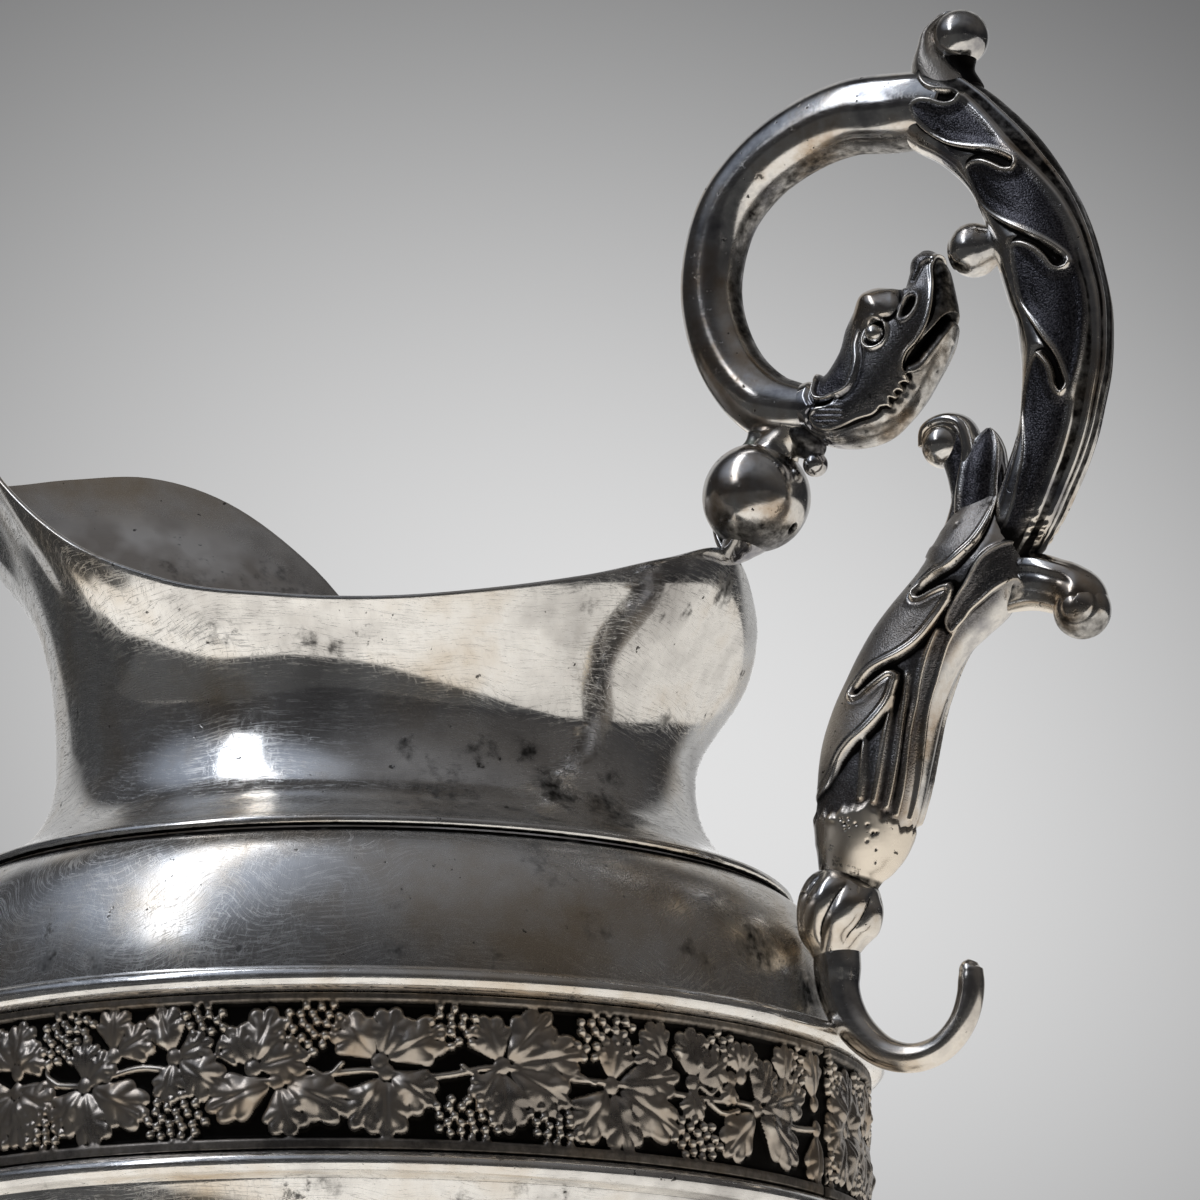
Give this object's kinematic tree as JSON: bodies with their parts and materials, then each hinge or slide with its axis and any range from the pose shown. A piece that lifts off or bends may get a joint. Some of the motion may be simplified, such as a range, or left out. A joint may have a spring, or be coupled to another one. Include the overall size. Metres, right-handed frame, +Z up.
{
  "type": "milk jug",
  "caption": "Round silver milk jug on a spreading foot, with a vine frieze, wide pouring lip and a looped serpent handle soldered to rim and shoulder.",
  "frame": {"origin": "on the table under the middle of the whole jug's box, handle included; the vessel's own axis is at X -10.8 mm", "axes": "+Z up, +X towards the handle, -X towards the spout, Y across the jug"},
  "size_m": [0.1136, 0.0864, 0.1907],
  "materials": {
    "polished_silver": "hand-polished, worn, lightly tarnished",
    "struck_silver": "die-struck relief, satin on a blackened ground",
    "cast_silver": "cast and chased, polished, dark in the hollows"
  },
  "bodies": {
    "root": {"foot_rim": "polished_silver", "foot": "polished_silver", "foot_knop": "polished_silver", "bowl": "polished_silver", "lower_bead": "polished_silver", "frieze_strip": "struck_silver", "upper_bead": "polished_silver", "shoulder": "polished_silver", "neck": "polished_silver", "rim_ball": "cast_silver", "throat_peg": "cast_silver", "peg_bead": "cast_silver", "serpent_loop": "cast_silver", "serpent_head": "cast_silver", "upper_leaf_arm": "cast_silver", "crest_scroll": "cast_silver", "crest_ball": "cast_silver", "inner_ball": "cast_silver", "lower_leaf_arm": "cast_silver", "inner_curl": "cast_silver", "outer_curl": "cast_silver", "bud_knop": "cast_silver", "tail_hook": "cast_silver"}
  },
  "joints": []
}
